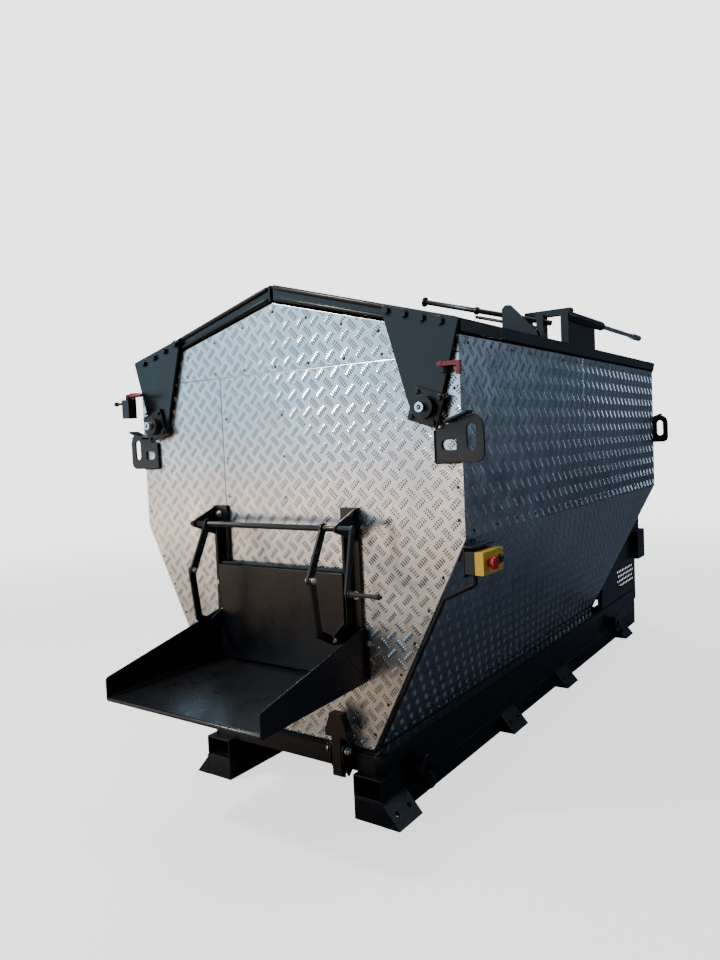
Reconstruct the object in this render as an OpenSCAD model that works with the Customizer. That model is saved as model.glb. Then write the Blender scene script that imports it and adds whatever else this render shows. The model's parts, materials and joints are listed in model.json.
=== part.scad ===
// Skid-mounted asphalt hot box: an insulated hopper clad in tread plate on a steel skid, with two
// outward-opening lids, a crank-operated discharge gate, a chute and a rear power compartment.
// X is across the machine, +Y points from the discharge end to the power end, +Z is up.
// The origin is on the ground under the middle of the machine.

/* [Body] */
// Half of the body's width at the side walls
half_w = 725; // [650:5:800]
// Half of the body's width at the deck
bottom_half_w = 352; // [340:2:400]
// Height of the deck above the ground
deck_z = 230; // [228:1:240]
// Height where the side walls turn inward
knee_z = 962; // [930:2:1000]
// Height of the eaves
eave_z = 1580; // [1540:5:1620]
// Height of the ridge of the end walls
ridge_z = 1770; // [1740:5:1800]
// Front face of the discharge end
front_y = -1310; // [-1320:1:-1300]
// Rear face of the hopper body
rear_y = 970; // [940:5:1000]
// Thickness of the cladding sheets
sheet = 4; // [3:0.5:5]

/* [Skid] */
// Rear end of the base frame
base_rear_y = 1730; // [1700:5:1760]
// Half of the base frame's width
base_half_w = 405; // [400:1:410]
// Inner side of the skid tubes
skid_inner_x = 290; // [280:1:300]
// Height of the lower runner
runner_h = 77; // [70:1:78]
// Wall of the open upper tubes
tube_wall = 6; // [4:0.5:8]
// How far the feet reach out sideways
foot_reach = 65; // [60:1:70]
// Length of a foot along the skid
foot_len = 150; // [140:5:160]

/* [Lids] */
// Distance of the lid pivots from the middle
pivot_x = 620; // [610:1:630]
// Height of the lid pivots
pivot_z = 1367; // [1360:1:1375]
// Radius of the pivot shafts
pivot_r = 15; // [12:1:18]
// Thickness of the lid arms
arm_t = 10; // [8:1:12]

/* [Discharge] */
// Reach of the chute in front of the body
chute_reach = 530; // [500:5:530]
// Half of the chute's width
chute_half_w = 342; // [340:1:345]
// Half of the gate's width
gate_half_w = 288; // [280:1:290]
// Lower edge of the gate
gate_z = 486; // [484:1:490]
// Height of the gate
gate_h = 349; // [340:1:360]
// Height of the crank shaft
crank_z = 995; // [990:1:1000]
// Distance of the crank shaft from the front face
crank_out = 112; // [110:1:115]
// Radius of the crank shaft
crank_r = 10; // [8:1:12]

/* [Hidden] */
$fn = 48;

roof_slope = (ridge_z - eave_z) / half_w;
flank_slope = (half_w - bottom_half_w) / (knee_z - deck_z);
flank_len = sqrt(1 + flank_slope * flank_slope);
roof_len = sqrt(1 + roof_slope * roof_slope);

// Outer half-width of the slanted flank at height z, moved inward by t along its normal
function flank_x(z, t) = bottom_half_w + (z - deck_z) * flank_slope - t * flank_len;
// Height of the end wall's roof line at x, moved down by t along its normal
function roof_z(x, t) = ridge_z - roof_slope * x - t * roof_len;
// Height where the flank meets the side wall, both moved inward by t
function knee_at(t) = deck_z + (half_w - t - bottom_half_w + t * flank_len) / flank_slope;
// Right half of the body's cross-section, moved inward by t, from the bottom up to the ridge
function half_section(t) = [
    [flank_x(deck_z + t, t), deck_z + t],
    [half_w - t, knee_at(t)],
    [half_w - t, roof_z(half_w - t, t)],
    [0, roof_z(0, t)]
];
// The same points mirrored to the left half, in reverse order
function left_half(pts) = [for (i = [len(pts) - 1 : -1 : 0]) [-pts[i][0], pts[i][1]]];
// Whole cross-section, counter-clockwise from the lower right corner
function section(t) = concat(half_section(t), [for (i = [1 : 3]) left_half(half_section(t))[i]]);

gap = 0.5;
black = [0.07, 0.075, 0.085];
alu = [0.72, 0.74, 0.76];
steel = [0.45, 0.46, 0.48];

// A profile in X and Z, t thick, from y towards the rear
module across(pts, y, t) {
    translate([0, y + t, 0])
        rotate([90, 0, 0])
            linear_extrude(t)
                polygon(pts);
}

// A profile in Y and Z, t thick, from x towards the right
module along(pts, x, t) {
    translate([x, 0, 0])
        rotate([90, 0, 90])
            linear_extrude(t)
                polygon(pts);
}

// A box given by its lowest and highest corners
module block(low, high) {
    translate(low)
        cube(high - low);
}

// A round bar from point p to point q
module rod(p, q, r) {
    d = q - p;
    translate(p)
        rotate([0, acos(d[2] / norm(d)), atan2(d[1], d[0])])
            cylinder(h = norm(d), r = r);
}

// The children and their mirror image across the middle plane
module both_sides() {
    children();
    mirror([1, 0, 0])
        children();
}

// A hexagon bolt head on a washer, standing at p towards direction d
module bolt_head(p, d, r) {
    rod(p, p + d * 0.2 * r, 1.3 * r);
    translate(p)
        rotate([0, acos(d[2] / norm(d)), atan2(d[1], d[0])])
            cylinder(h = 0.95 * r, r = r, $fn = 6);
}

// ---- Skid and base frame ----

base_z = 155;
rail_w = 60;
corner_r = 40;
lip = 6;
lip_z = 192;
lip_h = 32;
skid_front_y = front_y - 40;
skid_rear_y = 1700;
foot_y = [-1275, -350, 310, 1340];
lash_y = [-1120, 1160];

// Front beam outline with rounded outer corners, grown by g
module beam_outline(g) {
    w = base_half_w + g;
    r = corner_r + g;
    y0 = front_y - 12 - g;
    translate([-w + r, y0])
        square([2 * (w - r), rail_w + g]);
    translate([-w, y0 + r])
        square([2 * w, rail_w + g - r]);
    for (s = [-1, 1])
        translate([s * (w - r), y0 + r])
            circle(r);
}

module base_frame() {
    y1 = front_y - 12 + rail_w;
    color(black) {
        translate([0, 0, base_z])
            linear_extrude(deck_z - base_z)
                beam_outline(0);
        translate([0, 0, lip_z])
            linear_extrude(lip_h)
                beam_outline(lip);
        both_sides() {
            block([base_half_w - rail_w, y1 + gap, base_z],
                  [base_half_w, base_rear_y - rail_w - gap, deck_z]);
            block([base_half_w, y1 + gap, lip_z],
                  [base_half_w + lip, base_rear_y - rail_w - gap, lip_z + lip_h]);
        }
        block([-base_half_w, base_rear_y - rail_w, base_z], [base_half_w, base_rear_y, deck_z]);
        for (y = [-650, 0, 650, 1000])
            block([-base_half_w + rail_w + gap, y, base_z],
                  [base_half_w - rail_w - gap, y + rail_w, deck_z]);
    }
}

module fork_tubes() {
    h = base_z - runner_h - 1;
    color(black)
        both_sides()
            difference() {
                block([skid_inner_x, skid_front_y, runner_h + 0.5],
                      [base_half_w, skid_rear_y, runner_h + h + 0.5]);
                block([skid_inner_x + tube_wall, skid_front_y - 1, runner_h + 0.5 + tube_wall],
                      [base_half_w - tube_wall, skid_rear_y + 1, runner_h + h + 0.5 - tube_wall]);
            }
}

module skid_runners() {
    t = tube_wall;
    y0 = skid_front_y + gap;
    color(black)
        both_sides()
            difference() {
                block([skid_inner_x, y0, 0], [base_half_w, skid_rear_y, runner_h]);
                block([skid_inner_x + t, y0 + t, t], [base_half_w - t, skid_rear_y + 1, runner_h - t]);
            }
}

// One wedge foot on the right side, centred at y: a sloped bolt plate on two end gussets
module foot(y) {
    plate_t = 10;
    hole_r = 8;
    gusset = 8;
    top = runner_h - 2;
    x0 = base_half_w + gap;
    x1 = x0 + foot_reach;
    a = atan2(top, foot_reach);
    n = [sin(a), 0, cos(a)];
    difference() {
        union() {
            across([[x0, top], [x0, top - plate_t / cos(a)],
                    [x1 - plate_t / sin(a), 0], [x1, 0]], y - foot_len / 2, foot_len);
            for (s = [0, 1])
                across([[x0, top], [x0, 0], [x1, 0]],
                       y - foot_len / 2 + s * (foot_len - gusset), gusset);
        }
        for (s = [-1, 1]) {
            c = [(x0 + x1) / 2, y + s * foot_len / 4, top / 2];
            rod(c - n * 2 * plate_t, c + n * plate_t, hole_r);
        }
    }
}

module skid_feet() {
    color(black)
        both_sides()
            for (y = foot_y)
                foot(y);
}

lash_x = base_half_w + 36;
lash_z = 118;
ring_r = 26;
ring_t = 6;

module lashing_lugs() {
    plate_t = 10;
    color(black)
        both_sides()
            for (y = lash_y) {
                difference() {
                    rod([lash_x, y, lash_z], [lash_x + plate_t, y, lash_z], 52);
                    rod([lash_x - 1, y, lash_z], [lash_x + plate_t + 1, y, lash_z], 20);
                }
                for (s = [-1, 1])
                    block([base_half_w + gap, y + s * 36 - 8, lash_z - 24],
                          [lash_x, y + s * 36 + 8, lash_z + 24]);
            }
}

// A lashing ring hanging in the eye of the lug at y
module lashing_ring(y) {
    translate([lash_x + 5, y, lash_z - 20 + ring_t - ring_r + 1])
        rotate([90, 0, 0])
            rotate_extrude()
                translate([ring_r, 0])
                    circle(ring_t);
}

module lashing_rings_front() {
    color(steel)
        both_sides()
            lashing_ring(lash_y[0]);
}

module lashing_rings_rear() {
    color(steel)
        both_sides()
            lashing_ring(lash_y[1]);
}

// ---- Hopper body ----

seam_z = 1529;
seam_x = -275;
side_seam_y = -185;
outlet_half_w = 238;
outlet_z = 490;
outlet_h = 285;

// The tunnel that the asphalt leaves through, from y0 to y1
module outlet_cut(y0, y1) {
    block([-outlet_half_w, y0, outlet_z], [outlet_half_w, y1, outlet_z + outlet_h]);
}

// End sheets at y, cut by the seams
module end_sheets(y, x_seam) {
    t = sheet;
    intersection() {
        across(section(0), y, t);
        block([-half_w, y, seam_z + 1], [half_w, y + t, ridge_z]);
    }
    difference() {
        intersection() {
            across(section(0), y, t);
            block([-half_w, y, deck_z], [half_w, y + t, seam_z - 1]);
        }
        block([x_seam - 1, y - 1, deck_z - 1], [x_seam + 1, y + t + 1, seam_z]);
        children();
    }
}

module front_cladding() {
    color(alu)
        end_sheets(front_y, seam_x)
            outlet_cut(front_y - 1, front_y + sheet + 1);
}

module rear_cladding() {
    color(alu)
        end_sheets(rear_y - sheet, 0) {
            rod([0, rear_y - sheet - 1, burner_z], [0, rear_y + 1, burner_z], burner_r + 2);
            rod([0, rear_y - sheet - 1, auger_z], [0, rear_y + 1, auger_z], auger_shaft_r + 8);
        }
}

// One flank's sheets: upper and lower, in front of and behind the seam
module flank_sheets() {
    y0 = front_y + sheet + gap;
    y1 = rear_y - sheet - gap;
    outer = half_section(0);
    inner = half_section(sheet);
    for (span = [[y0, side_seam_y - 1], [side_seam_y + 1, y1]]) {
        across([outer[1], outer[2], inner[2], inner[1]], span[0], span[1] - span[0]);
        across([outer[0], outer[1] - [0, 1], inner[1] - [0, 1], inner[0]], span[0], span[1] - span[0]);
    }
}

module right_cladding() {
    color(alu)
        flank_sheets();
}

module left_cladding() {
    color(alu)
        mirror([1, 0, 0])
            flank_sheets();
}

frame_bar = 40;

// A portal of mitred bars that follows the body's cross-section, from y to the rear
module portal(y) {
    outer = section(sheet + gap);
    inner = section(sheet + gap + frame_bar);
    n = len(outer);
    for (i = [0 : n - 1]) {
        j = (i + 1) % n;
        u = (outer[j] - outer[i]) / norm(outer[j] - outer[i]) * gap / 2;
        across([outer[i] + u, outer[j] - u, inner[j] - u, inner[i] + u], y, frame_bar);
    }
}

module body_frame() {
    y0 = front_y + sheet + gap;
    y1 = rear_y - sheet - gap;
    in = sheet + gap;
    color(black) {
        portal(y0);
        portal(y1 - frame_bar);
        both_sides()
            for (p = [half_section(in)[1] - [frame_bar, 0],
                      half_section(in)[2] - [frame_bar, frame_bar + 12],
                      half_section(in)[0] - [frame_bar, 0]])
                block([p[0], y0 + frame_bar + gap, p[1]],
                      [p[0] + frame_bar - 2, y1 - frame_bar - gap, p[1] + frame_bar]);
    }
}

// Inside outline of the hopper, right half, from the trough up
wall_t = 5;
liner_x = 655;
trough_x = 245;
trough_z = 478;
liner_top = 1545;
liner_y0 = front_y + 75;
liner_y1 = rear_y - 75;
liner = [
    [trough_x, trough_z],
    [liner_x, trough_z + liner_x - trough_x],
    [liner_x, liner_top]
];

module hopper_walls() {
    t = wall_t;
    d = liner_y1 - liner_y0;
    color(steel) {
        block([-trough_x + gap, liner_y0, trough_z - t], [trough_x - gap, liner_y1, trough_z]);
        both_sides() {
            across([liner[0], liner[1] - [0, gap], liner[1] + [t, -gap], liner[0] + [t, 0]],
                   liner_y0, d);
            across([liner[1], liner[1] + [t, 0], liner[2] + [t, 0], liner[2]], liner_y0, d);
        }
    }
}

// End wall of the hopper at y; children cut it
module hopper_end(y) {
    whole = concat([[-trough_x, trough_z]], [for (p = liner) p],
                   [for (i = [2 : -1 : 1]) [-liner[i][0], liner[i][1]]]);
    difference() {
        across(whole, y, wall_t);
        children();
    }
}

module hopper_ends() {
    t = wall_t;
    y0 = liner_y0 - t - gap;
    color(steel) {
        hopper_end(y0)
            outlet_cut(y0 - 1, y0 + t + 1);
        hopper_end(liner_y1 + gap)
            rod([0, liner_y1 - 1, auger_z], [0, liner_y1 + t + 2, auger_z], auger_shaft_r + 8);
        for (z = [outlet_z - t, outlet_z + outlet_h])
            block([-outlet_half_w, front_y + sheet + gap, z],
                  [outlet_half_w, y0 - gap, z + t]);
        both_sides()
            block([outlet_half_w, front_y + sheet + gap, outlet_z],
                  [outlet_half_w + t, y0 - gap, outlet_z + outlet_h]);
    }
}

module insulation() {
    t = 18;
    y0 = liner_y0 + 20;
    d = liner_y1 - liner_y0 - 40;
    color([0.8, 0.72, 0.5])
        both_sides()
            across([liner[1] + [wall_t + 1, 0], [liner_x + wall_t + t, knee_z + 20],
                    [liner_x + wall_t + t, liner_top - 50], [liner_x + wall_t + 1, liner_top - 50]],
                   y0, d);
}

burner_z = 355;
burner_r = 75;

module burner_tube() {
    y1 = rear_y + 160;
    color(steel) {
        difference() {
            rod([0, front_y + 90, burner_z], [0, y1, burner_z], burner_r);
            rod([0, front_y + 96, burner_z], [0, y1 + 1, burner_z], burner_r - 4);
        }
        block([-85, y1 + gap, burner_z - 80], [85, y1 + 80, burner_z + 80]);
    }
}

// ---- Lifting lugs and lid pivots ----

lug_t = 8;

// One lifting lug on the right, with its front face at y; s = -1 puts its lip forward, 1 rearward
module lifting_lug(y, s) {
    outline = [[636, 1196], [776, 1196], [793, 1203], [800, 1220], [800, 1300], [793, 1325],
               [778, 1338], [765, 1341], [645, 1301], [636, 1301]];
    lip_out = 37;
    difference() {
        across(outline, y, lug_t);
        for (z = [1248, 1298])
            rod([759, y - 1, z], [759, y + lug_t + 1, z], 15);
        block([744, y - 1, 1248], [774, y + lug_t + 1, 1298]);
        rod([674, y - 1, 1250], [674, y + lug_t + 1, 1250], 16);
        block([674, y - 1, 1234], [708, y + lug_t + 1, 1266]);
    }
    across([[687, 1316], [765, 1343.5], [762, 1351], [684, 1323.5]],
           s < 0 ? y - lip_out : y, lug_t + lip_out);
}

module lifting_lugs() {
    color(black)
        both_sides() {
            lifting_lug(front_y - lug_t, -1);
            lifting_lug(rear_y, 1);
        }
}

shaft_out = 73;

// Stub shaft with its weld collar, standing out of the wall at y in direction s
module pivot_shaft(y, s) {
    end_y = y + s * shaft_out;
    difference() {
        union() {
            rod([pivot_x, y, pivot_z], [pivot_x, y + s * 8, pivot_z], 32);
            rod([pivot_x, y, pivot_z], [pivot_x, end_y, pivot_z], pivot_r);
        }
        rod([pivot_x, end_y - s * 15, pivot_z], [pivot_x, end_y + s, pivot_z], 8);
    }
}

module pivot_shafts() {
    color(steel)
        both_sides() {
            pivot_shaft(front_y, -1);
            pivot_shaft(rear_y, 1);
        }
}

// ---- Discharge gate, crank and chute ----

rail_in = 264;
rail_out = 336;
rail_t = 12;
rail_top = 1053;
crank_y = front_y - crank_out;
ear_x = 322;

module gate_rails() {
    z0 = 482;
    guide_t = 5;
    color(black)
        both_sides() {
            block([rail_in, front_y - rail_t, z0], [rail_out, front_y, rail_top]);
            block([gate_half_w + 4, front_y - rail_t - 30, z0],
                  [gate_half_w + 4 + guide_t, front_y - rail_t, rail_top - 60]);
            for (p = [[316, 760], [306, 1020]])
                bolt_head([p[0], front_y - rail_t, p[1]], [0, -1, 0], 9);
        }
}

floor_z = 462;
floor_rear_z = 477;

module chute_floor() {
    y0 = front_y - chute_reach;
    y1 = front_y - 6;
    t = 6;
    lip_r = 8;
    w = chute_half_w - 5.5;
    color(black)
        translate([-w, 0, 0]) {
            along([[y1, floor_rear_z], [y0 + lip_r, floor_z + t], [y0 + lip_r, floor_z],
                   [y1, floor_rear_z - t]], 0, 2 * w);
            rod([0, y0 + lip_r, floor_z - 2], [2 * w, y0 + lip_r, floor_z - 2], lip_r);
        }
}

module chute_sides() {
    y0 = front_y - chute_reach;
    y1 = front_y - 0.5;
    color(black)
        both_sides() {
            along([[y1, 468], [y1, 655], [y0 + 6, 533], [y0, 526], [y0, 458], [y0 + 4, 454]],
                  chute_half_w - 5, 5);
            block([chute_half_w + gap, front_y - 6, 480], [chute_half_w + 14, front_y - 0.5, 645]);
        }
}

module crank_bearings() {
    t = 6;
    y0 = front_y - rail_t;
    color(black)
        both_sides()
            difference() {
                along([[y0, 940], [y0, 1050], [crank_y + 4, crank_z + 18], [crank_y - 16, crank_z + 8],
                       [crank_y - 16, crank_z - 10]], ear_x, t);
                rod([ear_x - 1, crank_y, crank_z], [ear_x + t + 1, crank_y, crank_z], crank_r + 0.06);
            }
}

gate_front = front_y - 46;
ear_pin = [front_y - 101, 624];
lever_end = [front_y - 191, 838];
link_knee = [front_y - 168, 661];
link_x = 262;
link_t = 8;

module gate_plate() {
    flange = 24;
    t = 5;
    z1 = gate_z + gate_h;
    ear_t = 6;
    color(black) {
        block([-gate_half_w, gate_front, gate_z], [gate_half_w, gate_front + t, z1]);
        for (z = [gate_z, z1 - t])
            block([-gate_half_w, gate_front, z], [gate_half_w, gate_front + t + flange, z + t]);
        both_sides() {
            block([gate_half_w - t, gate_front, gate_z],
                  [gate_half_w, gate_front + t + flange, z1]);
            along([[gate_front + 1, 600], [gate_front + 1, 668], [ear_pin[0] - 4, ear_pin[1] + 16],
                   [ear_pin[0] - 14, ear_pin[1]], [ear_pin[0] - 6, ear_pin[1] - 14]],
                  link_x + 2 * link_t + 2, ear_t);
        }
    }
}

// A flat lever in a plane across X, w wide, from p to q in Y and Z
module flat_lever(p, q, x, t, w) {
    u = (q - p) / norm(q - p);
    n = [-u[1], u[0]] * w / 2;
    along([p + n, p - n, q - n, q + n], x, t);
    for (c = [p, q])
        rod([x, c[0], c[1]], [x + t, c[0], c[1]], w / 2);
}

crank_arm_x = 380;
grip_at = [front_y - 155, 797];

module crank() {
    t = 8;
    color(black) {
        rod([-345, crank_y, crank_z], [crank_arm_x + t, crank_y, crank_z], crank_r);
        for (x = [link_x, -link_x - t]) {
            flat_lever([crank_y, crank_z], lever_end, x, t, 30);
            rod([x, crank_y, crank_z], [x + t, crank_y, crank_z], crank_r + 8);
        }
        flat_lever([crank_y, crank_z], grip_at, crank_arm_x, t, 24);
        rod([crank_arm_x, grip_at[0], grip_at[1]], [513, grip_at[0], grip_at[1]], 5);
        both_sides()
            rod([link_x - 5, lever_end[0], lever_end[1]],
                [link_x + 2 * link_t + 4, lever_end[0], lever_end[1]], 5);
    }
}

module crank_grip() {
    x0 = crank_arm_x + 12;
    color(black)
        difference() {
            union() {
                rod([x0, grip_at[0], grip_at[1]], [505, grip_at[0], grip_at[1]], 10);
                rod([x0, grip_at[0], grip_at[1]], [x0 + 5, grip_at[0], grip_at[1]], 13);
            }
            rod([x0 - 1, grip_at[0], grip_at[1]], [506, grip_at[0], grip_at[1]], 5.08);
        }
}

module gate_links() {
    x0 = link_x + link_t + 1;
    color(black)
        both_sides()
            difference() {
                union() {
                    flat_lever(lever_end, link_knee, x0, link_t, 26);
                    flat_lever(link_knee, ear_pin, x0, link_t, 26);
                }
                rod([x0 - 1, lever_end[0], lever_end[1]],
                    [x0 + link_t + 1, lever_end[0], lever_end[1]], 5.08);
            }
}

// ---- Auger ----

auger_z = 600;
auger_shaft_r = 22;
auger_r = 100;
auger_y0 = liner_y0 + 40;
auger_y1 = liner_y1 - 40;

module auger() {
    paddles = 12;
    pitch = (auger_y1 - auger_y0) / paddles;
    color(steel) {
        rod([0, auger_y0 - 20, auger_z], [0, rear_y + 40, auger_z], auger_shaft_r);
        for (i = [0 : paddles - 1])
            translate([0, auger_y0 + (i + 0.5) * pitch, auger_z])
                rotate([0, i * 60, 0])
                    rotate([0, 0, 25])
                        block([-30, -4, auger_shaft_r - 6], [30, 4, auger_r]);
    }
}

module auger_drive() {
    y0 = rear_y + 12;
    color([0.2, 0.3, 0.42])
        difference() {
            union() {
                block([-90, y0, auger_z - 90], [90, y0 + 130, auger_z + 90]);
                rod([60, y0 + 65, auger_z + 90], [60, y0 + 65, auger_z + 260], 70);
            }
            rod([0, y0 - 1, auger_z], [0, y0 + 131, auger_z], auger_shaft_r + 0.08);
        }
}

// ---- Controls ----

box_y = front_y - 30;
box_len = 140;
box_z = 860;
box_h = 69;
box_x = 733;
button_z = box_z + box_h / 2 + 1;
stop_y = front_y + 6;
start_y = front_y + 84;

module control_bracket() {
    t = 5;
    plate_x = box_x - t - gap;
    y1 = box_y + box_len;
    color(black) {
        block([plate_x, box_y, box_z - 10], [plate_x + t, y1, knee_z - 22]);
        block([plate_x, box_y, knee_z - 22], [plate_x + 40, y1, knee_z - 17]);
        block([flank_x(box_z + 40, 0) + 8, front_y + 30, box_z + 10],
              [plate_x, front_y + 36, box_z + 50]);
    }
}

module control_box() {
    color(black)
        block([box_x, box_y, box_z], [box_x + 34, box_y + box_len, box_z + box_h]);
}

module control_cover() {
    x0 = box_x + 34;
    color([0.95, 0.6, 0.05])
        difference() {
            block([x0, box_y, box_z], [x0 + 28, box_y + box_len, box_z + box_h]);
            for (y = [stop_y, start_y])
                rod([x0 + 14, y, button_z], [x0 + 29, y, button_z], 11.05);
        }
}

module stop_button() {
    x0 = box_x + 34 + 20;
    color([0.75, 0.05, 0.05]) {
        rod([x0, stop_y, button_z], [x0 + 28, stop_y, button_z], 11);
        rod([x0 + 17, stop_y, button_z], [x0 + 34, stop_y, button_z], 20);
    }
}

module start_button() {
    x0 = box_x + 34 + 20;
    color([0.05, 0.05, 0.05])
        rod([x0, start_y, button_z], [x0 + 18, start_y, button_z], 11);
}

// Conduit clipped along the slanted front edge, from the control box down to the deck
conduit_r = 8;
conduit_y = front_y + conduit_r + 2;
conduit = [
    [box_x + 15, conduit_y, box_z - conduit_r - 1],
    [box_x + 15, conduit_y, box_z - 34],
    [flank_x(box_z - 90, 0) + 10, conduit_y, box_z - 90],
    [flank_x(deck_z + 10, 0) + 10, conduit_y, deck_z + 10]
];

module control_conduit() {
    color(black) {
        for (i = [0 : len(conduit) - 2])
            rod(conduit[i], conduit[i + 1], conduit_r);
        for (i = [1 : len(conduit) - 2])
            translate(conduit[i])
                sphere(conduit_r + 0.5);
    }
}

// ---- Hold-down clamp on the front beam ----

clamp_x = 246;
clamp_pin = [front_y - 52, 236];

module clamp_bracket() {
    t = 8;
    y0 = front_y - 12 - lip - gap;
    color(black)
        for (s = [-1, 1])
            difference() {
                along([[y0, 160], [y0, 268], [clamp_pin[0] - 10, 256], [clamp_pin[0] - 18, 240],
                       [clamp_pin[0] - 18, 200], [y0 - 20, 142]], clamp_x + s * 26 - t / 2, t);
                rod([clamp_x + s * 26 - t, clamp_pin[0], clamp_pin[1]],
                    [clamp_x + s * 26 + t, clamp_pin[0], clamp_pin[1]], 9.06);
            }
}

module clamp_hook() {
    w = 18;
    color(black) {
        rod([clamp_x - 36, clamp_pin[0], clamp_pin[1]],
            [clamp_x + 36, clamp_pin[0], clamp_pin[1]], 9);
        along([[clamp_pin[0] - 16, 150], [clamp_pin[0] + 8, 138], [clamp_pin[0] + 14, 170],
               [clamp_pin[0] + 18, 250], [clamp_pin[0] + 18, 290], [clamp_pin[0] - 16, 290]],
              clamp_x - w, 2 * w);
        across([[clamp_x - 44, 283], [clamp_x + 44, 283], [clamp_x + 44, 305],
                [clamp_x + 27, 346], [clamp_x + 25, 362], [clamp_x - 25, 362],
                [clamp_x - 27, 346], [clamp_x - 44, 305]], clamp_pin[0] - 16, 34);
    }
}

// ---- Rear power compartment ----

house_w = 412;
house_y0 = rear_y + 1;
house_y1 = 1834;
house_z0 = 450;
house_z1 = 1150;
skin = 4;
door_half_w = 350;
door_z0 = 490;
door_z1 = 1110;
hinge_r = 8;

module rear_housing() {
    y1 = house_y1 - 2 * hinge_r;
    color(black) {
        both_sides() {
            block([house_w - skin, house_y0, house_z0], [house_w, y1, house_z1]);
            block([door_half_w + 3, y1 - skin, house_z0 + gap],
                  [house_w - skin - gap, y1, house_z1 - gap]);
        }
        block([-house_w, house_y0, house_z1 + gap], [house_w, y1, house_z1 + gap + skin]);
        block([-house_w, house_y0, house_z0 - gap - skin], [house_w, y1, house_z0 - gap]);
        block([-door_half_w + 3, y1 - skin, house_z0], [door_half_w - 3, y1, door_z0 - 3]);
        block([-door_half_w + 3, y1 - skin, door_z1 + 3], [door_half_w - 3, y1, house_z1]);
    }
}

module rear_door() {
    y0 = house_y1 - 2 * hinge_r + 1;
    color(black) {
        block([-door_half_w + 8, y0, door_z0 - 8], [door_half_w + 8, y0 + skin, door_z1 + 8]);
        for (z = [580, 980])
            rod([-door_half_w + 2, y0 + 8, z], [-door_half_w + 2, y0 + 8, z + 60], 6);
        block([door_half_w - 60, y0 + skin, 780], [door_half_w - 30, house_y1 + 6, 860]);
    }
}

// Perforated guards on both sides of the base frame, behind the body
module guard_plates() {
    y0 = rear_y + 50;
    y1 = base_rear_y;
    pitch = 34;
    color(black)
        both_sides()
            difference() {
                block([base_half_w - 4, y0, deck_z + gap], [base_half_w, y1, house_z0 - skin - 1]);
                for (row = [0 : 3])
                    for (i = [0 : 9])
                        rod([base_half_w - 6, y1 - 60 - (i + 0.5 * (row % 2)) * pitch,
                             deck_z + 70 + row * 0.87 * pitch],
                            [base_half_w + 2, y1 - 60 - (i + 0.5 * (row % 2)) * pitch,
                             deck_z + 70 + row * 0.87 * pitch], 9);
            }
}

module starter_cabinet() {
    x0 = house_w + gap;
    color(black)
        along([[1655, 428], [1655, 606], [1662, 612], [1812, 612], [1812, 428]], x0, 36);
}

module fuel_tank() {
    color([0.3, 0.3, 0.32])
        block([-330, 1230, deck_z + 2], [330, 1560, 430]);
}

module hydraulic_unit() {
    color([0.25, 0.25, 0.27]) {
        block([-330, 1240, house_z0 + 1], [330, 1660, 700]);
        rod([-180, 1300, 780], [-180, 1600, 780], 79);
        block([60, 1260, 701], [320, 1640, 960]);
    }
}

// ---- Lids ----

lid_top = 1835;
lid_slope = 0.284;
lid_w = 734;
lid_gap = 6;
lid_bottom = ridge_z + 9;
lid_y0 = front_y - 2;
lid_y1 = rear_y + 2;
pocket_x0 = 60;
pocket_x1 = 676;
roof_sheet = 5;

// Height of the lid's top and bottom face at x
function top_at(x) = lid_top - lid_slope * x;
function under_at(x) = lid_bottom - roof_slope * x;

module lid_shell() {
    difference() {
        across([[lid_gap, under_at(lid_gap)], [lid_w, under_at(lid_w)], [lid_w, top_at(lid_w)],
                [lid_gap, top_at(lid_gap)]], lid_y0, lid_y1 - lid_y0);
        across([[pocket_x0, under_at(pocket_x0) - 1], [pocket_x1, under_at(pocket_x1) - 1],
                [pocket_x1, top_at(pocket_x1) - roof_sheet],
                [pocket_x0, top_at(pocket_x0) - roof_sheet]], lid_y0 + 60, lid_y1 - lid_y0 - 120);
    }
}

module lid_lining() {
    e = 0.3;
    across([[pocket_x0 + e, under_at(pocket_x0 + e) + e], [pocket_x1 - e, under_at(pocket_x1 - e) + e],
            [pocket_x1 - e, top_at(pocket_x1) - roof_sheet - e],
            [pocket_x0 + e, top_at(pocket_x0) - roof_sheet - e]],
           lid_y0 + 60 + e, lid_y1 - lid_y0 - 120 - 2 * e);
}

// Rubber strips under the lid, well inside the pivot's reach
module lid_seal() {
    h = 8;
    for (x = [30, 596])
        across([[x, under_at(x)], [x, under_at(x) - h], [x + 16, under_at(x + 16) - h],
                [x + 16, under_at(x + 16)]], front_y + 70, rear_y - front_y - 140);
}

arm_y = front_y - 10 - arm_t;
arm_bolts = [[675, 1621], [612, 1638], [549, 1658], [486, 1677]];

// Profile of a right-hand lid arm in X and Z
function arm_outline() = [
    [466, 1696], [469, 1672], [548, 1398], [562, 1362], [590, 1336], [630, 1330],
    [660, 1350], [670, 1399], [734, 1618], [734, 1627]
];

module lid_arm(y) {
    difference() {
        across(arm_outline(), y, arm_t);
        rod([pivot_x, y - 1, pivot_z], [pivot_x, y + arm_t + 1, pivot_z], 20);
    }
}

module lid_arms() {
    spacer_y0 = front_y - 9.5;
    lid_arm(arm_y);
    lid_arm(rear_y + 10);
    for (p = arm_bolts) {
        bolt_head([p[0], arm_y, p[1]], [0, -1, 0], 12);
        bolt_head([p[0], rear_y + 10 + arm_t, p[1]], [0, 1, 0], 12);
    }
    for (y = [front_y - 10, rear_y + 2.5])
        across([[480, 1672], [720, 1610], [720, 1625], [480, 1690]], y, 7.5);
}

flange_half = 53;
flange_t = 12;

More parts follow.
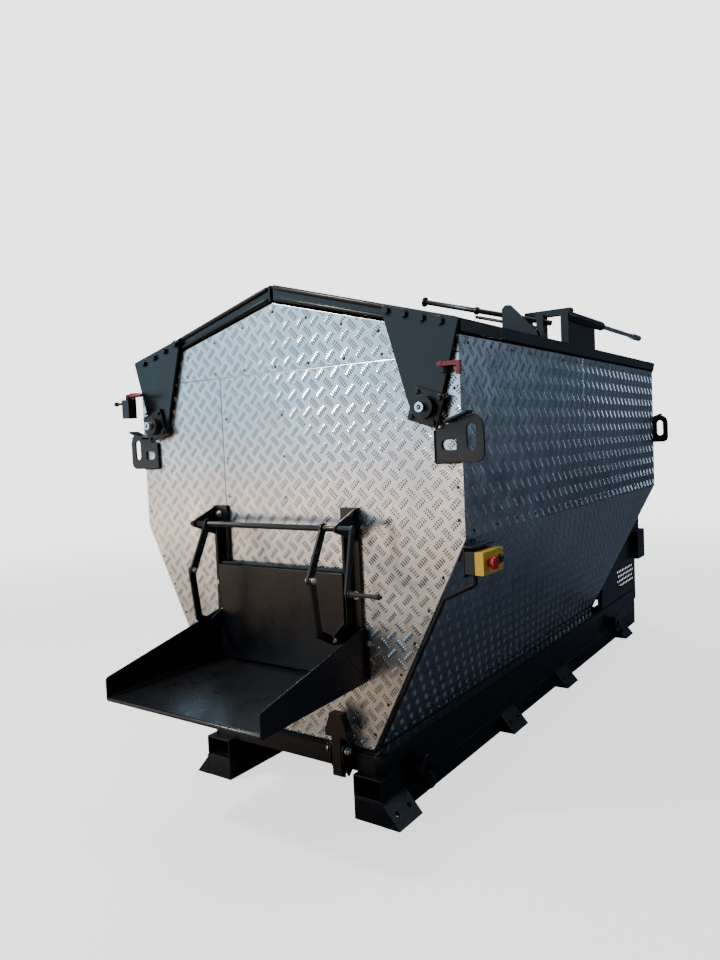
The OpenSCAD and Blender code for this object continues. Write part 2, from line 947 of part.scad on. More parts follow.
// Flange bearing on an arm's outer face at y, pointing in direction s
module lid_bearing(y, s) {
    difference() {
        union() {
            translate([pivot_x, s < 0 ? y - flange_t : y, pivot_z])
                rotate([0, 18, 0])
                    block([-flange_half, 0, -flange_half], [flange_half, flange_t, flange_half]);
            rod([pivot_x, y, pivot_z], [pivot_x, y + s * 36, pivot_z], 36);
        }
        rod([pivot_x, y - 1, pivot_z], [pivot_x, y + 38, pivot_z], pivot_r + 0.05);
        rod([pivot_x, y + 1, pivot_z], [pivot_x, y - 38, pivot_z], pivot_r + 0.05);
    }
    for (a = [45 : 90 : 315])
        bolt_head([pivot_x + 56 * cos(a - 18), y + s * flange_t, pivot_z + 56 * sin(a - 18)],
                  [0, s, 0], 8);
}

module lid_bearings() {
    lid_bearing(arm_y - 0.2, -1);
    lid_bearing(rear_y + 10 + arm_t + 0.2, 1);
}

module right_lid_shell() {
    color(black)
        lid_shell();
}

module left_lid_shell() {
    color(black)
        mirror([1, 0, 0])
            lid_shell();
}

module right_lid_lining() {
    color(alu)
        lid_lining();
}

module left_lid_lining() {
    color(alu)
        mirror([1, 0, 0])
            lid_lining();
}

module right_lid_arms() {
    color(black)
        lid_arms();
}

module left_lid_arms() {
    color(black)
        mirror([1, 0, 0])
            lid_arms();
}

module right_lid_bearings() {
    color(black)
        lid_bearings();
}

module left_lid_bearings() {
    color(black)
        mirror([1, 0, 0])
            lid_bearings();
}

module right_lid_seal() {
    color(black)
        lid_seal();
}

module left_lid_seal() {
    color(black)
        mirror([1, 0, 0])
            lid_seal();
}

// ---- Lid position switches ----

switch_lever_z = 1490;

module left_switch() {
    y0 = arm_y - 72;
    back_y = y0 + 40;
    color(black) {
        block([-738, y0, 1402], [-698, back_y, 1476]);
        rod([-718, y0 + 20, 1476], [-718, y0 + 20, 1482], 12);
        rod([-738, y0 + 20, 1463], [-790, y0 + 20, 1463], 5);
        rod([-790, y0 + 20, 1463], [-800, y0 + 20, 1463], 9);
        block([-738, back_y, 1402], [-704, back_y + 4, 1504]);
        block([-738, back_y + 4, 1492], [-704, arm_y - gap, 1504]);
    }
}

module left_switch_lever() {
    y = arm_y - 52;
    color([0.6, 0.08, 0.12]) {
        rod([-718, y, 1482.5], [-718, y, 1497], 12);
        rod([-718, y, switch_lever_z], [-640, y, switch_lever_z], 7);
    }
}

module right_switch() {
    color(black) {
        block([672, arm_y - 24, 1466], [692, arm_y - gap, 1483]);
        rod([682, arm_y - 12, 1483], [682, arm_y - 12, 1485], 7);
    }
}

module right_switch_lever() {
    y = arm_y - 12;
    color([0.6, 0.08, 0.12]) {
        rod([682, y, 1485.5], [682, y, 1501], 8);
        block([668, y - 7, 1486], [744, y + 7, 1499]);
        block([732, y - 7, 1458], [744, y + 7, 1487]);
    }
}

// ---- Latch on the right lid ----

latch_y = -310;
latch_lift = 70;
stand_t = 30;
pull_x = 719;
pull_z = 1741;
pull_r = 10;

// Height of the latch bar's axis at x
function bar_z(x) = top_at(x) + latch_lift;

// A post on the lid's top, from x0 to x1, y0 to y1, up to height z
module lid_post(x0, x1, y0, y1, z) {
    across([[x0, top_at(x0)], [x1, top_at(x1)], [x1, z], [x0, z]], y0, y1 - y0);
}

module latch_bracket() {
    t = 8;
    beam_z = 1762;
    color(black) {
        across([[440, top_at(440)], [600, top_at(600)], [590, top_at(590) + 30],
                [480, top_at(480) + 116], [456, top_at(456) + 112], [440, top_at(440) + 92]],
               latch_y - 40, t);
        block([500, latch_y + 60, beam_z], [700, latch_y + 100, beam_z + 26]);
        lid_post(500, 522, latch_y + 60, latch_y + 100, beam_z - gap);
        lid_post(676, 698, latch_y + 60, latch_y + 100, beam_z - gap);
        lid_post(700.5, 732, -370, -362, 1750);
        lid_post(711, 719, -361.5, 10, 1726);
        rod([300, latch_y, bar_z(300) - 28], [600, latch_y, bar_z(600) - 28], 7);
        difference() {
            rod([pull_x, -361.5, pull_z], [pull_x, 95, pull_z], 20);
            rod([pull_x, -350, pull_z], [pull_x, 96, pull_z], pull_r + 0.06);
        }
        for (x = [470, 600])
            difference() {
                lid_post(x - stand_t / 2, x + stand_t / 2, latch_y - 26, latch_y + 26,
                         bar_z(x) + 24);
                rod([x - 60, latch_y, bar_z(x - 60)], [x + 60, latch_y, bar_z(x + 60)], 11.06);
            }
    }
}

module latch_bar() {
    color(black) {
        rod([44, latch_y, bar_z(44)], [640, latch_y, bar_z(640)], 11);
        rod([44, latch_y, bar_z(44)], [53, latch_y, bar_z(53)], 22);
        rod([300, latch_y, bar_z(300)], [312, latch_y, bar_z(312)], 17);
    }
}

// Bright pull rod that slides in the barrel on the eave
module latch_pull() {
    color(steel)
        rod([pull_x, 60, pull_z], [pull_x, 592, pull_z], pull_r);
    color(black)
        rod([pull_x, 590, pull_z], [pull_x, 730, pull_z], 15);
}

base_frame();
fork_tubes();
skid_runners();
skid_feet();
lashing_lugs();
front_cladding();
right_cladding();
left_cladding();
rear_cladding();
body_frame();
hopper_walls();
hopper_ends();
insulation();
burner_tube();
lifting_lugs();
pivot_shafts();
gate_rails();
chute_floor();
chute_sides();
crank_bearings();
control_bracket();
control_box();
control_cover();
control_conduit();
clamp_bracket();
rear_housing();
guard_plates();
starter_cabinet();
fuel_tank();
hydraulic_unit();
auger_drive();
left_lid_shell();
left_lid_lining();
left_lid_arms();
left_lid_bearings();
left_lid_seal();
right_lid_shell();
right_lid_lining();
right_lid_arms();
right_lid_bearings();
right_lid_seal();
latch_bracket();
latch_bar();
latch_pull();
gate_plate();
crank();
crank_grip();
gate_links();
auger();
stop_button();
start_button();
left_switch();
left_switch_lever();
right_switch();
right_switch_lever();
clamp_hook();
rear_door();
lashing_rings_front();
lashing_rings_rear();
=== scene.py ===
"""Looks of a skid-mounted asphalt hot box: tread plate, black steel, bolts, welds and controls."""

import json
import logging
import math
from dataclasses import dataclass, field
from enum import Enum

import bpy
from mathutils import Matrix, Vector

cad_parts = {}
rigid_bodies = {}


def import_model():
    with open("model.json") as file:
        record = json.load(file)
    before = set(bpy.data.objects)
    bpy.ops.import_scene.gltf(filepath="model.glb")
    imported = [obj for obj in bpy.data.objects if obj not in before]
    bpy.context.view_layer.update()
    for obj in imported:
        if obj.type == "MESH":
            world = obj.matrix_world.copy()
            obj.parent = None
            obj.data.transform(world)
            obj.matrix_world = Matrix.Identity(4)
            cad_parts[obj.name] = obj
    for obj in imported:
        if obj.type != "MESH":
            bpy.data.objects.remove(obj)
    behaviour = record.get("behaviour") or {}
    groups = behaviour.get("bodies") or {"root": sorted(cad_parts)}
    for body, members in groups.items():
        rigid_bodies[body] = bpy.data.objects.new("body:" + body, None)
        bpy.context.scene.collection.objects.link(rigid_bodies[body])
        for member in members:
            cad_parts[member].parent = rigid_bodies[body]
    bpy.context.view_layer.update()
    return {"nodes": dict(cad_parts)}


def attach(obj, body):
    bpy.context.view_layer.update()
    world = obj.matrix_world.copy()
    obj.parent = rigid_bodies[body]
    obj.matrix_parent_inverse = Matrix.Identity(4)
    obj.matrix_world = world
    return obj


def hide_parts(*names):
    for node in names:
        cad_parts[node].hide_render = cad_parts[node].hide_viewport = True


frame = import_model()
log = logging.getLogger("hot_box")
logging.basicConfig(level=logging.INFO, format="%(message)s")

Point = tuple[float, float, float]
Flat = tuple[float, float]
BASE = "base"
BEVEL_FROM = math.radians(35)
BROKEN_FROM = math.radians(50)


class Grain(Enum):
    """How a finish's fine relief runs."""

    ORANGE_PEEL = "orange_peel"
    BRUSHED = "brushed"
    CAST = "cast"


@dataclass(frozen=True)
class Finish:
    """A surface finish made of noise-driven colour, roughness and relief."""

    name: str
    slot: str
    colour: Point
    second: Point
    metallic: float = 0.0
    rough: Flat = (0.3, 0.45)
    patch: float = 6.0
    grain: Grain = Grain.ORANGE_PEEL
    grain_scale: float = 900.0
    relief: float = 0.05
    coat: float = 0.0
    dust: float = 0.0
    specular: float = 0.5

    def material(self) -> bpy.types.Material:
        """Builds the finish's node material once and reuses it.

        A material that already has the finish's name is used as it is, so a finish named
        like a CAD slot keeps the frame's flat material.

        Returns:
            The material that carries this finish.
        """
        found = bpy.data.materials.get(self.name)
        if found is not None:
            return found
        made = bpy.data.materials.new(self.name)
        made.use_nodes = True
        nodes, links = made.node_tree.nodes, made.node_tree.links
        shader = nodes["Principled BSDF"]
        shader.inputs["Metallic"].default_value = self.metallic
        shader.inputs["Coat Weight"].default_value = self.coat
        shader.inputs["Coat Roughness"].default_value = 0.12
        shader.inputs["Specular IOR Level"].default_value = self.specular
        place = nodes.new("ShaderNodeTexCoord")
        patches = nodes.new("ShaderNodeTexNoise")
        patches.inputs["Scale"].default_value = self.patch
        patches.inputs["Detail"].default_value = 6.0
        patches.inputs["Roughness"].default_value = 0.62
        links.new(place.outputs["Object"], patches.inputs["Vector"])
        tone = nodes.new("ShaderNodeValToRGB")
        tone.color_ramp.elements[0].position = 0.35
        tone.color_ramp.elements[0].color = (*self.second, 1.0)
        tone.color_ramp.elements[1].position = 0.68
        tone.color_ramp.elements[1].color = (*self.colour, 1.0)
        links.new(patches.outputs["Fac"], tone.inputs["Fac"])
        colour = tone.outputs["Color"]
        if self.dust > 0.0:
            colour = self._dusted(nodes, links, place, colour)
        links.new(colour, shader.inputs["Base Color"])
        gloss = nodes.new("ShaderNodeMapRange")
        gloss.inputs["To Min"].default_value = self.rough[0]
        gloss.inputs["To Max"].default_value = self.rough[1]
        gloss.inputs["From Min"].default_value = 0.3
        gloss.inputs["From Max"].default_value = 0.7
        fine = nodes.new("ShaderNodeTexNoise")
        fine.inputs["Detail"].default_value = 4.0
        fine.inputs["Scale"].default_value = self.patch * 5.0
        links.new(place.outputs["Object"], fine.inputs["Vector"])
        links.new(fine.outputs["Fac"], gloss.inputs["Value"])
        links.new(gloss.outputs["Result"], shader.inputs["Roughness"])
        self._grain(nodes, links, place, shader)
        return made

    def _dusted(
        self,
        nodes: bpy.types.Nodes,
        links: bpy.types.NodeLinks,
        place: bpy.types.Node,
        colour: bpy.types.NodeSocket,
    ) -> bpy.types.NodeSocket:
        """Lays pale dust on faces that look up.

        Args:
            nodes: The material's nodes.
            links: The material's links.
            place: The texture coordinate node.
            colour: The colour under the dust.

        Returns:
            The dusted colour's socket.
        """
        facing = nodes.new("ShaderNodeNewGeometry")
        split = nodes.new("ShaderNodeSeparateXYZ")
        links.new(facing.outputs["Normal"], split.inputs["Vector"])
        speck = nodes.new("ShaderNodeTexNoise")
        speck.inputs["Scale"].default_value = 38.0
        speck.inputs["Detail"].default_value = 8.0
        links.new(place.outputs["Object"], speck.inputs["Vector"])
        up = nodes.new("ShaderNodeMapRange")
        up.inputs["From Min"].default_value = 0.5
        up.inputs["From Max"].default_value = 1.0
        up.inputs["To Max"].default_value = self.dust
        links.new(split.outputs["Z"], up.inputs["Value"])
        share = nodes.new("ShaderNodeMath")
        share.operation = "MULTIPLY"
        links.new(up.outputs["Result"], share.inputs[0])
        links.new(speck.outputs["Fac"], share.inputs[1])
        mix = nodes.new("ShaderNodeMix")
        mix.data_type = "RGBA"
        mix.inputs["B"].default_value = (0.16, 0.14, 0.12, 1.0)
        links.new(share.outputs["Value"], mix.inputs["Factor"])
        links.new(colour, mix.inputs["A"])
        return mix.outputs["Result"]

    def _grain(
        self,
        nodes: bpy.types.Nodes,
        links: bpy.types.NodeLinks,
        place: bpy.types.Node,
        shader: bpy.types.Node,
    ) -> None:
        """Adds the fine relief.

        Args:
            nodes: The material's nodes.
            links: The material's links.
            place: The texture coordinate node.
            shader: The shader that gets the normal.
        """
        stretch = nodes.new("ShaderNodeMapping")
        runs = {
            Grain.ORANGE_PEEL: (1.0, 1.0, 1.0),
            Grain.BRUSHED: (1.0, 0.03, 1.0),
            Grain.CAST: (0.5, 0.5, 0.5),
        }
        stretch.inputs["Scale"].default_value = runs[self.grain]
        links.new(place.outputs["Object"], stretch.inputs["Vector"])
        ripple = nodes.new("ShaderNodeTexNoise")
        ripple.inputs["Scale"].default_value = self.grain_scale
        ripple.inputs["Detail"].default_value = 2.0
        links.new(stretch.outputs["Vector"], ripple.inputs["Vector"])
        bump = nodes.new("ShaderNodeBump")
        bump.inputs["Strength"].default_value = self.relief
        bump.inputs["Distance"].default_value = 0.001
        links.new(ripple.outputs["Fac"], bump.inputs["Height"])
        links.new(bump.outputs["Normal"], shader.inputs["Normal"])


BLACK = Finish("satin_black", "black_paint", (0.0065, 0.0075, 0.0105), (0.004, 0.0045, 0.0065),
               rough=(0.24, 0.36), patch=3.0, grain_scale=420.0, relief=0.07, coat=0.06,
               dust=0.06, specular=0.42)
CAST_BLACK = Finish("cast_black", "black_paint", (0.008, 0.009, 0.0125), (0.0045, 0.005, 0.007),
                    rough=(0.3, 0.46), patch=14.0, grain=Grain.CAST, grain_scale=500.0,
                    relief=0.3, coat=0.04, dust=0.06, specular=0.42)
SHEET = Finish("tread_sheet", "tread_plate", (0.78, 0.82, 0.87), (0.60, 0.64, 0.69), 1.0,
               rough=(0.24, 0.36), patch=2.2, grain_scale=260.0, relief=0.10)
# The bars are the sheet's aluminium in a darker colour: painted shade for the dark surroundings
# their flanks reflect.
SHADED_BARS = Finish("tread_bars_painted_shade", "tread_plate", (0.72, 0.75, 0.79), (0.60, 0.635, 0.67), 1.0,
              rough=(0.10, 0.18), patch=5.0, grain_scale=500.0, relief=0.04)
LINER = Finish("liner_steel", "liner_steel", (0.36, 0.35, 0.34), (0.16, 0.13, 0.11), 1.0,
               rough=(0.35, 0.6), patch=4.0, grain=Grain.BRUSHED, grain_scale=300.0, relief=0.1)
BRIGHT = Finish("ground_shaft", "bright_steel", (0.85, 0.86, 0.88), (0.74, 0.75, 0.77), 1.0,
                rough=(0.1, 0.2), patch=20.0, grain=Grain.BRUSHED, grain_scale=900.0, relief=0.03)
ZINC = Finish("zinc_plating", "zinc", (0.72, 0.73, 0.70), (0.55, 0.56, 0.53), 1.0,
              rough=(0.22, 0.36), patch=60.0, grain_scale=1500.0, relief=0.06)
WOOL = Finish("mineral_wool", "wool", (0.62, 0.55, 0.36), (0.45, 0.38, 0.22), rough=(0.9, 1.0),
              patch=40.0, grain_scale=700.0, relief=0.9)
FOIL = Finish("foil_board", "panel_foil", (0.74, 0.75, 0.77), (0.6, 0.61, 0.63), 0.9,
              rough=(0.25, 0.45), patch=9.0, grain_scale=120.0, relief=0.3)
BOX_BLACK = Finish("box_black", "box_black", (0.016, 0.016, 0.017), (0.01, 0.01, 0.011),
                   rough=(0.42, 0.55), patch=30.0, grain_scale=1800.0, relief=0.2)
BOX_YELLOW = Finish("box_yellow", "box_yellow", (0.66, 0.088, 0.003), (0.60, 0.075, 0.003),
                    rough=(0.3, 0.4), patch=25.0, grain_scale=1800.0, relief=0.15, coat=0.1)
RED_CAP = Finish("red_cap", "button_red", (0.62, 0.012, 0.012), (0.5, 0.008, 0.01),
                 rough=(0.2, 0.3), patch=40.0, grain_scale=1200.0, relief=0.04, coat=0.3)
BLACK_CAP = Finish("black_cap", "button_black", (0.014, 0.014, 0.015), (0.01, 0.01, 0.011),
                   rough=(0.2, 0.3), patch=40.0, grain_scale=1200.0, relief=0.04, coat=0.3)
RED_LEVER = Finish("red_lever", "lever_red", (0.34, 0.025, 0.05), (0.22, 0.015, 0.03),
                   rough=(0.35, 0.5), patch=30.0, grain_scale=700.0, relief=0.15)
RUBBER = Finish("black_rubber", "conduit_black", (0.013, 0.013, 0.014), (0.008, 0.008, 0.009),
                rough=(0.5, 0.65), patch=40.0, grain_scale=900.0, relief=0.15)
SEAL = Finish("seal_rubber", "seal_rubber", (0.02, 0.02, 0.02), (0.012, 0.012, 0.012),
              rough=(0.7, 0.85), patch=40.0, grain_scale=900.0, relief=0.2)
MOTOR = Finish("motor_paint", "motor_paint", (0.04, 0.09, 0.17), (0.03, 0.06, 0.12),
               rough=(0.35, 0.5), patch=12.0, grain=Grain.CAST, grain_scale=400.0, relief=0.25,
               coat=0.2)


class Bench:
    """Modelling steps that every sub-assembly shares."""

    @staticmethod
    def clear() -> None:
        """Leaves edit mode and selects nothing."""
        if bpy.context.mode != "OBJECT":
            bpy.ops.object.mode_set(mode="OBJECT")
        for thing in list(bpy.context.selected_objects):
            thing.select_set(False)

    @staticmethod
    def only(piece: bpy.types.Object) -> None:
        """Selects one piece and makes it active."""
        Bench.clear()
        piece.select_set(True)
        bpy.context.view_layer.objects.active = piece

    @staticmethod
    def settle(name: str) -> bpy.types.Object:
        """Names the new primitive and puts its place into its mesh.

        Args:
            name: The piece's name.

        Returns:
            The piece.
        """
        piece = bpy.context.active_object
        piece.name = name
        piece.data.name = name
        bpy.ops.object.transform_apply(location=True, rotation=True, scale=True)
        return piece

    @staticmethod
    def block(name: str, low: Point, high: Point) -> bpy.types.Object:
        """Adds a box between two corners.

        Args:
            name: The piece's name.
            low: Lowest corner.
            high: Highest corner.

        Returns:
            The box.
        """
        Bench.clear()
        middle = [(a + b) / 2 for a, b in zip(low, high)]
        span = [b - a for a, b in zip(low, high)]
        bpy.ops.mesh.primitive_cube_add(size=1.0, location=middle, scale=span)
        return Bench.settle(name)

    @staticmethod
    def rod(
        name: str, start: Point, end: Point, radius: float, sides: int = 24
    ) -> bpy.types.Object:
        """Adds a round bar between two points.

        Args:
            name: The piece's name.
            start: One end's centre.
            end: The other end's centre.
            radius: The bar's radius.
            sides: Faces round the bar.

        Returns:
            The bar.
        """
        Bench.clear()
        way = Vector(end) - Vector(start)
        turn = way.to_track_quat("Z", "Y").to_euler()
        middle = (Vector(start) + Vector(end)) / 2
        bpy.ops.mesh.primitive_cylinder_add(
            vertices=sides, radius=radius, depth=way.length, location=middle, rotation=turn
        )
        return Bench.settle(name)

    @staticmethod
    def apply(piece: bpy.types.Object) -> None:
        """Applies every modifier of a piece."""
        Bench.only(piece)
        for step in list(piece.modifiers):
            bpy.ops.object.modifier_apply(modifier=step.name)

    @staticmethod
    def soften(piece: bpy.types.Object, width: float, segments: int = 2) -> None:
        """Rounds a piece's sharp edges.

        Args:
            piece: The piece.
            width: The rounding's width.
            segments: Faces across the rounding.
        """
        edge = piece.modifiers.new("rounding", "BEVEL")
        edge.width = width
        edge.segments = segments
        edge.limit_method = "ANGLE"
        edge.angle_limit = BEVEL_FROM
        Bench.apply(piece)

    @staticmethod
    def smooth(piece: bpy.types.Object, degrees: float = 40.0) -> None:
        """Shades a piece smooth below an angle."""
        Bench.only(piece)
        bpy.ops.object.shade_smooth_by_angle(angle=math.radians(degrees))

    @staticmethod
    def row(piece: bpy.types.Object, step: Point, count: int) -> None:
        """Repeats a piece along a step.

        Args:
            piece: The piece to repeat.
            step: The way from one to the next.
            count: How many there are in the end.
        """
        repeat = piece.modifiers.new("row", "ARRAY")
        repeat.use_relative_offset = False
        repeat.use_constant_offset = True
        repeat.constant_offset_displace = step
        repeat.count = count
        Bench.apply(piece)

    @staticmethod
    def join(name: str, pieces: list[bpy.types.Object]) -> bpy.types.Object:
        """Joins pieces into one.

        Args:
            name: The joined piece's name.
            pieces: The pieces.

        Returns:
            The joined piece.
        """
        Bench.clear()
        for piece in pieces:
            piece.select_set(True)
        bpy.context.view_layer.objects.active = pieces[0]
        if len(pieces) > 1:
            bpy.ops.object.join()
        pieces[0].name = name
        return pieces[0]

    @staticmethod
    def place(piece: bpy.types.Object, where: Matrix) -> None:
        """Moves a piece made at the origin to its place and applies it."""
        Bench.only(piece)
        piece.matrix_world = where
        bpy.ops.object.transform_apply(location=True, rotation=True, scale=True)

    @staticmethod
    def hand_over(piece: bpy.types.Object, body: str, finish: Finish) -> bpy.types.Object:
        """Dresses a finished piece and lets it ride on its body.

        Args:
            piece: The finished piece.
            body: The body that carries it.
            finish: Its finish.

        Returns:
            The piece.
        """
        piece.data.materials.clear()
        piece.data.materials.append(finish.material())
        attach(piece, body)
        log.info("%s on %s: %d faces", piece.name, body, len(piece.data.polygons))
        return piece


@dataclass
class TreadPlate:
    """One tread-plate sheet: crossed five-bar groups, cut to the sheet's outline."""

    name: str
    outline: list[Flat]
    origin: Point
    along: Point
    up: Point
    opening: tuple[float, float, float, float] | None = None
    period: float = 0.0620
    height: float = 0.0017
    spacing: float = 0.0088
    width: float = 0.0080
    lengths: tuple[float, ...] = (0.0265, 0.0285, 0.0295, 0.0285, 0.0265)
    phase: Flat = (0.0, 0.0)

    def tile(self) -> bpy.types.Object:
        """Models two crossed groups of bars.

        Returns:
            The tile, with its corner at the origin.
        """
        Bench.clear()
        made = []
        for share, angle in ((0.25, math.radians(45.0)), (0.75, math.radians(-45.0))):
            centre = Vector((share * self.period, share * self.period, 0.0))
            side = Vector((-math.sin(angle), math.cos(angle), 0.0))
            for i, length in enumerate(self.lengths):
                spot = centre + side * (i - 2) * self.spacing
                bpy.ops.mesh.primitive_cone_add(
                    vertices=8, radius1=0.5, radius2=0.16, depth=1.0,
                    location=(spot.x, spot.y, self.height * 0.5 - 0.0003),
                    rotation=(0.0, 0.0, angle),
                    scale=(length, self.width, self.height + 0.0006),
                )
                made.append(bpy.context.active_object)
                made[-1].select_set(False)
        tile = Bench.join(self.name, made)
        Bench.only(tile)
        bpy.ops.object.transform_apply(location=True, rotation=True, scale=True)
        return tile

    def cut(self, piece: bpy.types.Object) -> None:
        """Cuts the bars to the outline and clears the opening.

        Args:
            piece: The sheet of bars, flat on the ground plane.
        """
        Bench.only(piece)
        bpy.ops.object.mode_set(mode="EDIT")
        count = len(self.outline)
        for i in range(count):
            a, b = self.outline[i], self.outline[(i + 1) % count]
            outward = (b[1] - a[1], a[0] - b[0], 0.0)
            bpy.ops.mesh.select_all(action="SELECT")
            bpy.ops.mesh.bisect(
                plane_co=(a[0], a[1], 0.0), plane_no=outward, use_fill=True, clear_outer=True
            )
        bpy.ops.object.mode_set(mode="OBJECT")
        if self.opening is None:
            return
        x0, x1, y0, y1 = self.opening
        for vertex in piece.data.vertices:
            vertex.select = x0 < vertex.co.x < x1 and y0 < vertex.co.y < y1
        bpy.ops.object.mode_set(mode="EDIT")
        bpy.ops.mesh.select_linked()
        bpy.ops.mesh.delete(type="VERT")
        bpy.ops.object.mode_set(mode="OBJECT")

    def build(self) -> bpy.types.Object:
        """Models the sheet's bars in place.

        Returns:
            The piece.
        """
        xs = [p[0] for p in self.outline]
        ys = [p[1] for p in self.outline]
        step = self.period
        piece = self.tile()
        columns = math.ceil((max(xs) - min(xs)) / step) + 1
        lines = math.ceil((max(ys) - min(ys)) / step) + 1
        Bench.row(piece, (step, 0.0, 0.0), columns)
        Bench.row(piece, (0.0, step, 0.0), lines)
        shift = Matrix.Translation((min(xs) - self.phase[0], min(ys) - self.phase[1], 0.0))
        Bench.place(piece, shift)
        self.cut(piece)
        side, rise = Vector(self.along).normalized(), Vector(self.up).normalized()
        out = side.cross(rise)
        where = Matrix((side, rise, out)).transposed().to_4x4()
        where.translation = Vector(self.origin)
        Bench.place(piece, where)
        for face in piece.data.polygons:
            face.use_smooth = False
        # The bars get the darker finish, which carries painted shade.
        return Bench.hand_over(piece, BASE, SHADED_BARS)


@dataclass
class Cladding:
    """The hopper's tread-plate skin with its seams and screws."""

    half: float = 0.725
    foot: float = 0.352
    deck: float = 0.230
    knee: float = 0.962
    eave: float = 1.580
    ridge: float = 1.770
    front: float = -1.310
    rear: float = 0.970
    seam: float = 1.529
    joint_x: float = -0.275
    joint_y: float = -0.185
    screw_radius: float = 0.0055
    screw_dome: float = 0.55

    def roof(self, x: float) -> float:
        """Height of the end wall's roof line at x."""
        return self.ridge - (self.ridge - self.eave) / self.half * abs(x)

    def flank(self, z: float) -> float:
        """Half-width of the flank at height z."""
        return self.foot + (self.half - self.foot) * (z - self.deck) / (self.knee - self.deck)

    def ends(self) -> None:
        """Covers both end walls."""
        gap = 0.003
        top = [(-self.half + gap, self.seam + gap), (self.half - gap, self.seam + gap),
               (self.half - gap, self.roof(self.half) - gap), (0.0, self.ridge - gap),
               (-self.half + gap, self.roof(self.half) - gap)]
        left = [(-self.foot, self.deck + gap), (self.joint_x - gap, self.deck + gap),
                (self.joint_x - gap, self.seam - gap), (-self.half + gap, self.seam - gap),
                (-self.half + gap, self.knee)]
        right = [(self.joint_x + gap, self.deck + gap), (self.foot, self.deck + gap),
                 (self.half - gap, self.knee), (self.half - gap, self.seam - gap),
                 (self.joint_x + gap, self.seam - gap)]
        outlet = (-0.245, 0.245, 0.482, 0.782)
        drive = (-0.05, 0.05, 0.25, 0.65)
        for name, shape in (("front_top", top), ("front_left", left), ("front_right", right)):
            TreadPlate(name + "_tread", shape, (0.0, self.front, 0.0), (1.0, 0.0, 0.0),
                       (0.0, 0.0, 1.0), outlet, phase=(0.011, 0.017)).build()
        for name, shape in (("rear_top", top), ("rear_left", left), ("rear_right", right)):
            turned = [(-x, z) for x, z in reversed(shape)]
            TreadPlate(name + "_tread", turned, (0.0, self.rear, 0.0), (-1.0, 0.0, 0.0),
                       (0.0, 0.0, 1.0), drive, phase=(0.004, 0.02)).build()

    def sides(self) -> None:
        """Covers the side walls and the slanted flanks."""
        gap = 0.004
        slant = math.hypot(self.half - self.foot, self.knee - self.deck)
        for side, name in ((1.0, "right"), (-1.0, "left")):
            for part, y0, y1 in (("front", self.front + 0.006, self.joint_y - gap),
                                 ("rear", self.joint_y + gap, self.rear - 0.006)):
                lo, hi = (y0, y1) if side > 0 else (-y1, -y0)
                along = (0.0, side, 0.0)
                wall = [(lo, self.knee + gap), (hi, self.knee + gap),
                        (hi, self.eave - gap), (lo, self.eave - gap)]
                TreadPlate(f"{name}_{part}_wall_tread", wall, (side * self.half, 0.0, 0.0),
                           along, (0.0, 0.0, 1.0), phase=(0.006, 0.003)).build()
                skirt = [(lo, gap), (hi, gap), (hi, slant - gap), (lo, slant - gap)]
                rise = (side * (self.half - self.foot), 0.0, self.knee - self.deck)
                TreadPlate(f"{name}_{part}_flank_tread", skirt,
                           (side * self.foot, 0.0, self.deck), along, rise,
                           phase=(0.012, 0.009)).build()

    def screws(self) -> None:
        """Sets small domed screws along the seams of both end walls and the side walls."""
        spots: list[tuple[Vector, Vector]] = []
        for face, way in ((self.front, -1.0), (self.rear, 1.0)):
            out = Vector((0.0, way, 0.0))
            for i in range(8):
                z = 0.36 + 0.145 * i
                for x in (self.joint_x + 0.02, 0.02):
                    if not (abs(x) < 0.36 and z < 1.06):
                        spots.append((Vector((x, face, z)), out))
            for i in range(9):
                x = -0.6 + 0.15 * i
                spots.append((Vector((x, face, self.seam + 0.018)), out))
                spots.append((Vector((x * 0.98, face, self.roof(x) - 0.03)), out))
            for s in (-1.0, 1.0):
                for i in range(6):
                    z = 1.02 + 0.1 * i
                    spots.append((Vector((s * (self.half - 0.02), face, z)), out))
                    low = 0.29 + 0.11 * i
                    spots.append((Vector((s * (self.flank(low) - 0.02), face, low)), out))
        for s in (-1.0, 1.0):
            out = Vector((s, 0.0, 0.0))
            for i in range(14):
                y = self.front + 0.06 + 0.165 * i
                spots.append((Vector((s * self.half, y, self.knee + 0.022)), out))
                spots.append((Vector((s * self.half, y, self.eave - 0.022)), out))
        made = []
        for spot, out in spots:
            Bench.clear()
            turn = out.to_track_quat("Z", "Y").to_euler()
            bpy.ops.mesh.primitive_uv_sphere_add(
                segments=10, ring_count=6, radius=self.screw_radius, location=spot,
                rotation=turn, scale=(1.0, 1.0, self.screw_dome),
            )
            made.append(Bench.settle("screw"))
        piece = Bench.join("cladding_screws", made)
        Bench.smooth(piece, 80.0)
        Bench.hand_over(piece, BASE, CAST_BLACK)

    def build(self) -> None:
        """Builds every sheet and its screws."""
        self.ends()
        self.sides()
        self.screws()


@dataclass
class Weld:
    """A weld bead of overlapping ripples between two points."""

    name: str
    start: Point
    end: Point
    radius: float = 0.004

    def bead(self) -> bpy.types.Object:
        """Models the bead.

        Returns:
            The bead, in place and undressed.
        """
        Bench.clear()
        way = Vector(self.end) - Vector(self.start)
        step = self.radius * 0.8
        bpy.ops.mesh.primitive_uv_sphere_add(
            segments=8, ring_count=5, radius=self.radius, scale=(1.0, 1.0, 0.75)
        )
        piece = Bench.settle(self.name)
        Bench.row(piece, (0.0, 0.0, step), max(2, int(way.length / step)))
        where = way.to_track_quat("Z", "Y").to_matrix().to_4x4()
        where.translation = Vector(self.start)
        Bench.place(piece, where)
        Bench.smooth(piece, 80.0)
        return piece


